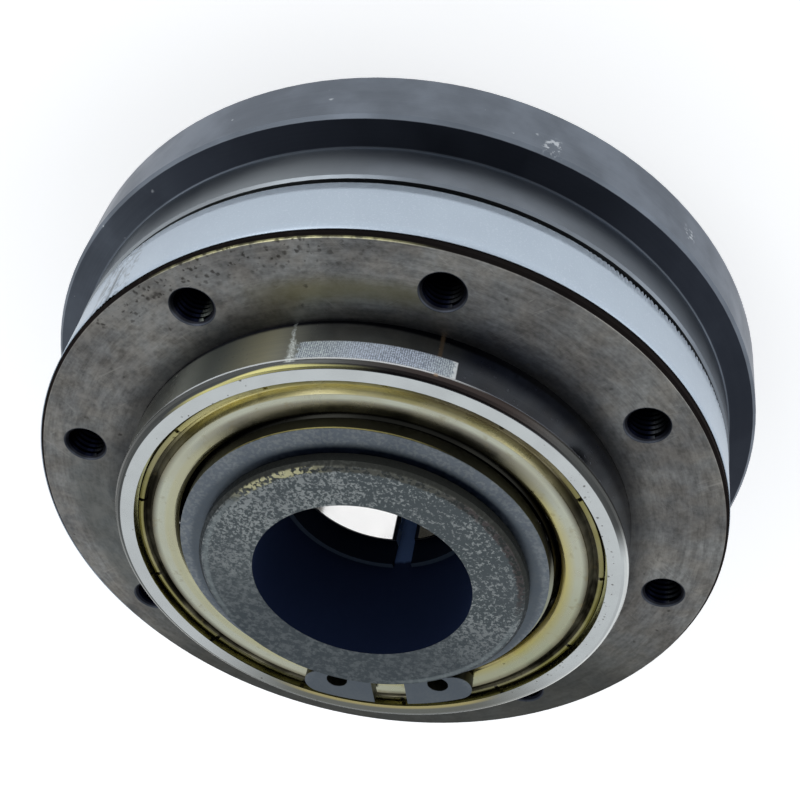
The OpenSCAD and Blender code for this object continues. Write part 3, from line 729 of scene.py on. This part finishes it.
def bright_steel(finish):
    """Bright turned and ground steel of the clamping bushing."""
    material, graph, shader = new_material("bright_steel", Metallic=1.0)
    radius, height = graph.place("Radius"), graph.place("Height")
    marks = graph.turned(5.0, 1.4, 0.3, 0.7)
    clouds = graph.grain(6.0, 3.0, 0.35, 0.7)
    tone = graph.mix(marks["Tone"] * 0.12, finish.bright, (0.96, 0.96, 0.96))
    # Outside the bore it is plain steel
    tone = tone.coat((0.46, 0.47, 0.47), radius.smooth(BORE + 0.1, BORE + 0.4))
    # Painted shade makes the relief at the front end near black. The bore carries a painted dark reflection on one
    # side of the slit, and a painted shadow along both edges of the slit
    relief_start = BUSHING_END - 4.0
    relief = radius.smooth(BORE + 0.1, BORE + 0.3) * height.smooth(relief_start - 0.1, relief_start)
    tone = tone.coat((0.004, 0.008, 0.020), relief)
    front_end = height.smooth(BUSHING_END - 0.08, BUSHING_END - 0.04)
    tone = tone.coat((0.075, 0.105, 0.155), front_end)
    in_bore = radius.smooth(BORE + 0.3, BORE + 0.1)
    tone = tone.coat((0.020, 0.019, 0.015), graph.sector(-64, -10, 4) * in_bore)
    slit_shadow = graph.sector(-74.4, -57.6, 1) * in_bore
    tone = tone.coat((0.006, 0.010, 0.022), slit_shadow)
    rough = radius.smooth(BORE + 0.1, BORE + 0.4, 0.10, 0.22)
    rough = rough + clouds["Height"].smooth(0.3, 0.7, 0.0, 0.12)
    rough = graph.most(rough, graph.most(relief, slit_shadow) * 0.95)
    connect(graph, shader, tone, rough, marks["Height"], 0.01, 0.4)
    return material


def plain_metal(name, base, rough, grain_mm=0.6):
    """A small piece's metal, with a little variation of tone and gloss."""
    material, graph, shader = new_material(name, Metallic=1.0)
    grains = graph.grain(grain_mm, 3.0, 0.35, 0.7)
    tone = graph.mix(grains["Mask"], base, [0.7 * part for part in base])
    rough = grains["Height"].smooth(0.3, 0.7, rough, rough + 0.12)
    connect(graph, shader, tone, rough, grains["Height"], 0.008)
    return material


def shaded_thread():
    """Thread painted near black as shade in the holes, with a painted highlight on its crests on one side of each
    hole.
    """
    material, graph, shader = new_material(
        "shaded_thread", Metallic=1.0, Roughness=0.32, Specular_Tint=(0.22, 0.23, 0.30)
    )
    _, across = hole_offset(graph)
    crests = graph.mix(graph.sector(100, 160, 10), (0.034, 0.037, 0.040), (0.30, 0.33, 0.30))
    tone = graph.mix(across.smooth(0.8, 1.9), (0.002, 0.0025, 0.006), crests)
    graph.feed(tone, shader["Base Color"])
    return material


def foil(finish):
    """Matt silver foil with a fine sparkle, creased and rubbed at its seam."""
    material, graph, shader = new_material("foil_label", Metallic=0.75)
    sparkle = graph.grain(0.22, 2.0, 0.52, 0.70)
    clouds = graph.grain(7.0, 3.0, 0.35, 0.7, 2.0)["Mask"]
    tone = graph.mix(clouds * 0.3, finish.foil, (0.40, 0.47, 0.56))
    tone = tone.coat((0.66, 0.72, 0.80), sparkle["Mask"], 0.4)
    seam = graph.place("Angle").band(142.5, 152.0, 1.5)
    rubbed = graph.scratches(2.2, 0.5, 0.13, 4.0)
    tone = tone.coat((0.12, 0.14, 0.16), rubbed * seam, 0.75)
    scuffed = graph.grain(0.7, 4.0, 0.47, 0.60, 8.0)["Mask"]
    tone = tone.coat((0.22, 0.25, 0.28), scuffed * seam, 0.6)
    rough = sparkle["Height"].smooth(0.3, 0.7, 0.36, 0.50)
    connect(graph, shader, tone, rough, sparkle["Height"], 0.015, 0.6)
    return material


def dress(material, *nodes):
    """Gives CAD nodes their material."""
    for node in nodes:
        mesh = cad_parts[node].data
        mesh.materials.clear()
        mesh.materials.append(material)


def add_object(name, data):
    """A new object in the scene."""
    made = bpy.data.objects.new(name, data)
    bpy.context.scene.collection.objects.link(made)
    return made


def new_piece(name, vertices, faces, material, body):
    """A mesh piece with smooth faces that rides on a body."""
    mesh = bpy.data.meshes.new(name)
    mesh.from_pydata(vertices, [], faces)
    mesh.materials.append(material)
    for face in mesh.polygons:
        face.use_smooth = True
    piece = add_object(name, mesh)
    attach(piece, body)
    return piece


def on_axis(radius, degrees, height):
    """The point at a radius, an angle and a height round the clutch's axis."""
    turn = math.radians(degrees)
    return Vector((radius * math.cos(turn), radius * math.sin(turn), height))


class FinishOperator:
    """What the finish operators share: the undo step and the finish settings."""

    bl_options = {"REGISTER", "UNDO"}

    def execute(self, context):
        self.dress_pieces(context.scene.clutch_finish)
        return {"FINISHED"}


class OBJECT_OT_clutch_groups(bpy.types.Operator):
    """Builds the node groups that the finishes share"""

    bl_idname = "object.clutch_groups"
    bl_label = "Shared Node Groups"
    bl_options = {"REGISTER", "UNDO"}

    def execute(self, context):
        for build in GROUP_BUILDERS:
            build()
        return {"FINISHED"}


class OBJECT_OT_clutch_flange(FinishOperator, bpy.types.Operator):
    """Gives the output flange its turned and stained steel"""

    bl_idname = "object.clutch_flange"
    bl_label = "Output Flange"

    def dress_pieces(self, finish):
        dress(turned_steel(finish), "output_flange")


class OBJECT_OT_clutch_bearing(FinishOperator, bpy.types.Operator):
    """Gives the bearing's rings, balls, cage and rivets their steels"""

    bl_idname = "object.clutch_bearing"
    bl_label = "Bearing"

    def dress_pieces(self, finish):
        dress(ground_steel(finish), "bearing_outer_ring", "bearing_inner_ring")
        polished = plain_metal("polished_steel", finish.polished, 0.08, 2.0)
        dress(polished, "bearing_balls", "detent_balls")
        pressed = plain_metal("pressed_steel", finish.pressed, 0.30)
        dress(pressed, "cage_front_half", "cage_rear_half", "cage_rivets")


class OBJECT_OT_clutch_shields(FinishOperator, bpy.types.Operator):
    """Gives both shields their yellowish zinc plate"""

    bl_idname = "object.clutch_shields"
    bl_label = "Shields"

    def dress_pieces(self, finish):
        dress(zinc_plate(finish), "front_shield", "rear_shield")


class OBJECT_OT_clutch_hub(FinishOperator, bpy.types.Operator):
    """Gives the hub its mottled phosphate"""

    bl_idname = "object.clutch_hub"
    bl_label = "Hub"

    def dress_pieces(self, finish):
        dress(phosphated_steel(finish), "hub")


class OBJECT_OT_clutch_springs(FinishOperator, bpy.types.Operator):
    """Gives the retaining ring and the disc springs their blued steel"""

    bl_idname = "object.clutch_springs"
    bl_label = "Retaining Ring and Springs"

    def dress_pieces(self, finish):
        dress(blued_steel(finish), "retaining_ring", "disc_spring_front", "disc_spring_rear")


class OBJECT_OT_clutch_switching(FinishOperator, bpy.types.Operator):
    """Gives the switching ring and the adjusting nut their oxide"""

    bl_idname = "object.clutch_switching"
    bl_label = "Switching Ring and Nut"

    def dress_pieces(self, finish):
        dress(black_oxide(finish), "switching_ring", "adjusting_nut")


class OBJECT_OT_clutch_clamping(FinishOperator, bpy.types.Operator):
    """Gives the bushing, the screws and the pressure pads their metals"""

    bl_idname = "object.clutch_clamping"
    bl_label = "Bushing and Screws"

    def dress_pieces(self, finish):
        dress(bright_steel(finish), "cone_bushing")
        dress(plain_metal("black_screw", finish.screw, 0.34), "bushing_screws", "nut_locking_screws")
        dress(plain_metal("brass", finish.brass, 0.30), "nut_pressure_pads")


class OBJECT_OT_clutch_label(bpy.types.Operator):
    """Wraps the bare foil label round the output flange"""

    bl_idname = "object.clutch_label"
    bl_label = "Foil Label"
    bl_options = {"REGISTER", "UNDO"}

    # Angles in degrees: one tooth of the fray, the frayed stretch, the creased seam, the lowest front edge
    TOOTH = 0.85
    FRAY, HALF_FRAY = 48.0, 25.0
    SEAM, HALF_SEAM = 147.0, 5.5
    LOWEST = 25.0

    def front_edge(self, label, degrees, top):
        """Height of the front edge, which runs a little out of square."""
        return top - label.skew * (1.0 + math.cos(math.radians(degrees - self.LOWEST)))

    def rear_edge(self, label, degrees, bottom):
        """Height of the rear edge, which is frayed on one stretch."""
        share = 1.0 - abs((degrees - self.FRAY) / self.HALF_FRAY)
        nick = abs(noise.noise(Vector((degrees * 0.9, 3.1, 0.0))))
        if share <= 0.0:
            return bottom + 0.06 * MM * nick
        along = degrees + 0.5 * noise.noise(Vector((degrees * 0.7, 0.0, 7.7)))
        spike = max(0.0, 1.0 - abs(along / self.TOOTH % 1.0 - 0.5) * 3.4)
        uneven = 0.35 + 1.1 * abs(noise.noise(Vector((math.floor(along / self.TOOTH) * 1.7, 2.0, 9.0))))
        return bottom + label.tear * min(1.0, share * 2.0) * (0.12 + spike * uneven * 1.5)

    def crease(self, label, degrees, share):
        """Height of the foil's creases over the flange."""
        near = max(0.0, 1.0 - abs((degrees - self.SEAM) / self.HALF_SEAM))
        hatch = abs(noise.noise(Vector((degrees * 1.7 + 3.0 * share, share * 2.5, 1.0))))
        swell = 0.5 + 0.5 * noise.noise(Vector((degrees * 0.12, share * 0.8, 5.0)))
        return label.crease * (near * 3.4 * hatch + 0.12 * swell)

    def execute(self, context):
        label = context.scene.clutch_label
        low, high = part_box("label_band")
        radius = high.x
        bottom, top = low.z, high.z + 0.45 * MM
        columns, rows = 1980, 6
        first = math.degrees(label.free_middle + label.free_angle / 2)
        last = first + 360.0 - math.degrees(label.free_angle)
        vertices, faces = [], []
        for i in range(columns + 1):
            degrees = first + (last - first) * i / columns
            z0 = self.rear_edge(label, degrees, bottom)
            z1 = self.front_edge(label, degrees, top)
            for j in range(rows + 1):
                share = j / rows
                out = self.crease(label, degrees, share)
                vertices.append(on_axis(radius + out, degrees, z0 + (z1 - z0) * share))
        step = rows + 1
        for i in range(columns):
            for j in range(rows):
                a = i * step + j
                faces.append((a, a + step, a + step + 1, a + 1))
        material = foil(context.scene.clutch_finish)
        piece = new_piece("foil_label", vertices, faces, material, "flange_body")
        shell = piece.modifiers.new("thickness", "SOLIDIFY")
        shell.thickness = label.thickness
        shell.offset = -1.0
        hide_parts("label_band")
        return {"FINISHED"}


class OBJECT_OT_clutch_threads(bpy.types.Operator):
    """Cuts the look of a thread into each tapped output hole"""

    bl_idname = "object.clutch_threads"
    bl_label = "Tapped Threads"
    bl_options = {"REGISTER", "UNDO"}

    def execute(self, context):
        thread = context.scene.clutch_thread
        low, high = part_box("output_flange")
        bottom, top = low.z + 0.5 * MM, high.z - thread.countersink - 0.1 * MM
        per_turn = 36
        total = int((top - bottom) / thread.pitch * per_turn)
        foot, flat = 0.40 * thread.pitch, 0.07 * thread.pitch
        profile = (
            (thread.wall + 0.02 * MM, -foot), (thread.core, -flat), (thread.core, flat),
            (thread.wall + 0.02 * MM, foot),
        )
        vertices, faces = [], []
        for hole in range(thread.count):
            centre = on_axis(thread.circle, hole * 360.0 / thread.count, 0.0)
            start = len(vertices)
            for i in range(total + 1):
                rise = bottom + thread.pitch * i / per_turn
                for radius, offset in profile:
                    vertices.append(centre + on_axis(radius, i * 360.0 / per_turn, rise + offset))
            across = len(profile)
            for i in range(total):
                for j in range(across):
                    a, b = start + i * across + j, start + i * across + (j + 1) % across
                    faces.append((a, b, b + across, a + across))
            faces.append(tuple(start + j for j in reversed(range(across))))
            faces.append(tuple(start + total * across + j for j in range(across)))
        piece = new_piece(
            "output_hole_threads", vertices, faces, shaded_thread(), "flange_body"
        )
        for face in piece.data.polygons:
            face.use_smooth = False
        return {"FINISHED"}


class OBJECT_OT_clutch_stage(bpy.types.Operator):
    """Sets up the camera, the lamps, the floor and the surroundings"""

    bl_idname = "object.clutch_stage"
    bl_label = "Stage"
    bl_options = {"REGISTER", "UNDO"}

    def add_camera(self, context, stage):
        data = bpy.data.cameras.new("camera")
        data.sensor_width = 36.0
        data.lens = stage.camera_lens
        data.clip_start, data.clip_end = 0.005, 20.0
        camera = add_object("camera", data)
        place, aim = Vector(stage.camera_place), Vector(stage.camera_aim)
        turn = (aim - place).to_track_quat("-Z", "Y")
        roll = Quaternion((0.0, 0.0, 1.0), stage.camera_roll)
        camera.matrix_world = Matrix.Translation(place) @ (turn @ roll).to_matrix().to_4x4()
        context.scene.camera = camera

    def add_lamp(self, name, place, size, power):
        data = bpy.data.lights.new(name, "AREA")
        data.shape = "DISK"
        data.size = size
        data.energy = power
        lamp = add_object(name, data)
        lamp.location = place
        lamp.rotation_euler = (Vector((0.0, 0.0, 0.03)) - Vector(place)).to_track_quat("-Z", "Y").to_euler()

    def add_floor(self, stage):
        reach = 3.0
        mesh = bpy.data.meshes.new("floor")
        corners = [(-reach, -reach, 0.0), (reach, -reach, 0.0), (reach, reach, 0.0), (-reach, reach, 0.0)]
        mesh.from_pydata(corners, [], [(0, 1, 2, 3)])
        floor = add_object("floor", mesh)
        material, graph = empty_material("floor")
        path = graph.outs(graph.node("ShaderNodeLightPath"))
        matt = graph.out("ShaderNodeBsdfDiffuse", {"Color": stage.backdrop})
        strength = path["Is Camera Ray"] * 0.45
        lift = graph.out("ShaderNodeEmission", {"Color": WHITE, "Strength": strength})
        seen = graph.out("ShaderNodeAddShader", {0: matt, 1: lift})
        # Metal and glass show the plain white backdrop, and the camera sees the object's shadow
        white = graph.out("ShaderNodeEmission", {"Color": WHITE, "Strength": 1.0})
        mirrored = graph.most(path["Is Glossy Ray"], path["Is Transmission Ray"])
        both = graph.out("ShaderNodeMixShader", {0: mirrored, 1: seen, 2: white})
        graph.node("ShaderNodeOutputMaterial", {"Surface": both})
        mesh.materials.append(material)

    def add_world(self, context):
        world = bpy.data.worlds.new("surroundings")
        context.scene.world = world
        world.use_nodes = True
        world.node_tree.nodes.clear()
        graph = Graph(world.node_tree)
        direction = graph.out("ShaderNodeTexCoord", key="Generated")
        up = graph.out("ShaderNodeSeparateXYZ", {0: direction}, 2)
        light = graph.ramp(up * 0.5 + 0.5, (
            (0.00, WHITE), (0.62, (0.98, 0.99, 1.00)), (0.76, (0.55, 0.56, 0.58)),
            (0.80, (0.76, 0.78, 0.80)), (0.905, (0.88, 0.90, 0.92)), (0.935, (0.34, 0.36, 0.40)),
            (0.955, (0.02, 0.024, 0.034)),
        ))
        camera_ray = graph.out("ShaderNodeLightPath", key="Is Camera Ray")
        shade = graph.mix(camera_ray, light, WHITE)
        glow = graph.out("ShaderNodeBackground", {"Color": shade, "Strength": 1.0})
        graph.node("ShaderNodeOutputWorld", {"Surface": glow})

    def execute(self, context):
        stage = context.scene.clutch_stage
        self.add_camera(context, stage)
        self.add_lamp("key_lamp", (-0.55, 0.62, 0.55), 0.50, stage.lamp_power)
        self.add_lamp("fill_lamp", (0.65, 0.40, 0.50), 0.60, 0.6 * stage.lamp_power)
        self.add_floor(stage)
        self.add_world(context)
        context.scene.view_settings.view_transform = "Standard"
        return {"FINISHED"}


class VIEW3D_PT_clutch(bpy.types.Panel):
    """Lists the settings and the steps in the 3D view's sidebar"""

    bl_label = "Safety Clutch"
    bl_idname = "VIEW3D_PT_clutch"
    bl_space_type = "VIEW_3D"
    bl_region_type = "UI"
    bl_category = "Clutch"

    def draw(self, context):
        scene = context.scene
        for settings in (scene.clutch_stage, scene.clutch_finish, scene.clutch_label, scene.clutch_thread):
            box = self.layout.box()
            for key in settings.bl_rna.properties.keys():
                if key not in ("rna_type", "name"):
                    box.prop(settings, key)
        for step in STEPS:
            self.layout.operator(step.bl_idname)


STEPS = (
    OBJECT_OT_clutch_stage, OBJECT_OT_clutch_groups, OBJECT_OT_clutch_flange,
    OBJECT_OT_clutch_bearing, OBJECT_OT_clutch_shields, OBJECT_OT_clutch_hub,
    OBJECT_OT_clutch_springs, OBJECT_OT_clutch_switching, OBJECT_OT_clutch_clamping,
    OBJECT_OT_clutch_label, OBJECT_OT_clutch_threads,
)
SETTINGS = (
    ("clutch_stage", ClutchStageSettings), ("clutch_finish", ClutchFinishSettings),
    ("clutch_label", ClutchLabelSettings), ("clutch_thread", ClutchThreadSettings),
)


def register():
    for name, settings in SETTINGS:
        bpy.utils.register_class(settings)
        setattr(bpy.types.Scene, name, PointerProperty(type=settings))
    for step in STEPS:
        bpy.utils.register_class(step)
    bpy.utils.register_class(VIEW3D_PT_clutch)


def unregister():
    bpy.utils.unregister_class(VIEW3D_PT_clutch)
    for step in reversed(STEPS):
        bpy.utils.unregister_class(step)
    for name, settings in reversed(SETTINGS):
        delattr(bpy.types.Scene, name)
        bpy.utils.unregister_class(settings)


def main():
    register()
    for step in STEPS:
        group, name = step.bl_idname.split(".")
        getattr(getattr(bpy.ops, group), name)()


if __name__ == "__main__":
    main()
